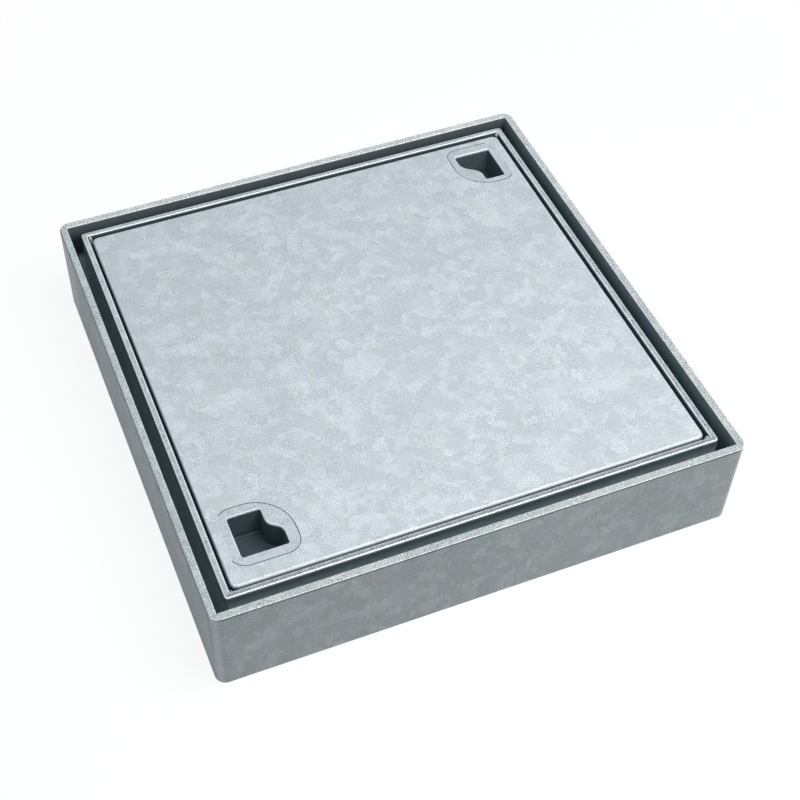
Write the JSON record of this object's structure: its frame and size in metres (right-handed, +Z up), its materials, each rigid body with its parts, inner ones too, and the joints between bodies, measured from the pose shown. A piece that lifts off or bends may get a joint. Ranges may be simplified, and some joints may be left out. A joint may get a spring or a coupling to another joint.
{
  "type": "recessed paving cover",
  "caption": "Square recessed access cover in galvanised steel: a deep frame with an open slot behind its rim, and a flush lift-out cover with key pockets in opposite corners.",
  "frame": {"origin": "middle of the underside, at the level that the frame stands on", "axes": "+Z up through the cover, +X to the right along the front wall, +Y to the back; the front and left walls are the two that the picture shows"},
  "size_m": [0.4, 0.4, 0.08],
  "materials": {
    "outer_frame": "hot-dip galvanised, matt, with a cloudy spangle",
    "seat_frame": "hot-dip galvanised, matt",
    "cover_sheet": "hot-dip galvanised, matt, with a cloudy spangle",
    "pocket_casting": "cast steel, hot-dip galvanised, matt",
    "seal_rubber": "matt black rubber strip"
  },
  "bodies": {
    "root": {"surround_front": "outer_frame", "surround_right": "outer_frame", "surround_back": "outer_frame", "surround_left": "outer_frame", "flange_front": "outer_frame", "flange_right": "outer_frame", "flange_back": "outer_frame", "flange_left": "outer_frame", "seat_wall_front": "seat_frame", "seat_wall_right": "seat_frame", "seat_wall_back": "seat_frame", "seat_wall_left": "seat_frame", "seat_ledge_front": "seat_frame", "seat_ledge_right": "seat_frame", "seat_ledge_back": "seat_frame", "seat_ledge_left": "seat_frame", "seat_web_front_left": "seat_frame", "seat_web_front_right": "seat_frame", "seat_web_right_front": "seat_frame", "seat_web_right_back": "seat_frame", "seat_web_back_right": "seat_frame", "seat_web_back_left": "seat_frame", "seat_web_left_back": "seat_frame", "seat_web_left_front": "seat_frame", "seal_front": "seal_rubber", "seal_right": "seal_rubber", "seal_back": "seal_rubber", "seal_left": "seal_rubber", "cover_pan": "cover_sheet", "cover_stiffener_left": "cover_sheet", "cover_stiffener_middle": "cover_sheet", "cover_stiffener_right": "cover_sheet", "key_pocket_front": "pocket_casting", "key_pocket_back": "pocket_casting"}
  },
  "joints": []
}
